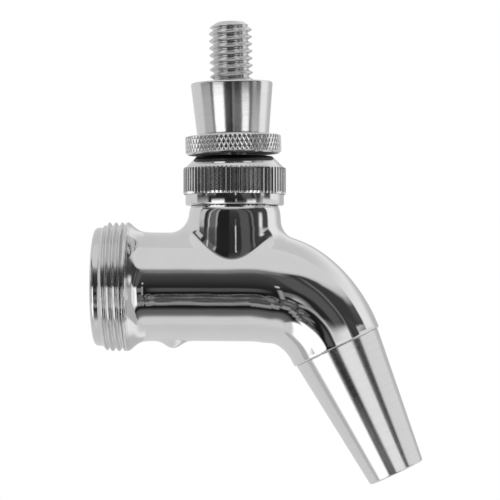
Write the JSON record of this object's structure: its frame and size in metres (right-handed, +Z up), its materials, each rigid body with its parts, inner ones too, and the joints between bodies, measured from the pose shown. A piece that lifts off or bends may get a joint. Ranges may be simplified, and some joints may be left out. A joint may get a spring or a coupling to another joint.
{
  "type": "beer faucet",
  "caption": "Forward-sealing beer faucet in polished stainless steel with a bent body, tapered spout, knurled bonnet and a bare threaded lever for a tap handle.",
  "frame": {"origin": "centre of the rear inlet face, on the axis of the body tube", "axes": "+X along the tube towards the spout, +Z up through the neck and lever, Y across"},
  "size_m": [0.0724, 0.0286, 0.1023],
  "materials": {
    "polished_steel": "mirror-polished stainless steel",
    "satin_steel": "fine brushed stainless steel",
    "stud_steel": "machined stainless steel",
    "black_rubber": "moulded rubber",
    "natural_plastic": "natural acetal"
  },
  "bodies": {
    "faucet": {"faucet_body": "polished_steel", "spout": "satin_steel", "spout_o_ring": "black_rubber", "shaft_guide": "natural_plastic", "guide_ring": "stud_steel", "bearing_cup": "natural_plastic", "cup_o_ring": "black_rubber", "ball_o_ring": "black_rubber", "compression_bushing": "natural_plastic", "thrust_washer": "stud_steel", "neck_o_ring": "black_rubber", "bonnet": "polished_steel"},
    "lever_group": {"lever": "stud_steel", "finger_sleeve": "natural_plastic"},
    "collar": {"ferrule": "polished_steel"},
    "nut": {"jam_nut": "polished_steel"},
    "valve": {"valve_shaft": "stud_steel", "valve_head": "stud_steel", "seal_ring": "black_rubber", "seal_screw": "stud_steel"}
  },
  "joints": [
    {"name": "lever_tilt", "type": "hinge", "parent": "faucet", "child": "lever_group", "pos_m": [0.031, 0, 0.02], "axis": [0, 1, 0], "range_deg": [0, 25]},
    {"name": "valve_slide", "type": "slide", "parent": "faucet", "child": "valve", "axis": [1, 0, 0], "range_m": [-0.0085, 0]},
    {"name": "collar_lift", "type": "slide", "parent": "lever_group", "child": "collar", "axis": [-0.0262, 0, 0.9997], "range_m": [0, 0.00158]},
    {"name": "nut_turn", "type": "hinge", "parent": "collar", "child": "nut", "pos_m": [0.0307, 0, 0.0315], "axis": [-0.0262, 0, 0.9997], "range_deg": [0, 359.9]}
  ],
  "couplings": [
    {"joint": "valve_slide", "follows": "lever_tilt", "m_per_rad": -0.019477},
    {"joint": "nut_turn", "follows": "collar_lift", "rad_per_m": 3957.9}
  ]
}
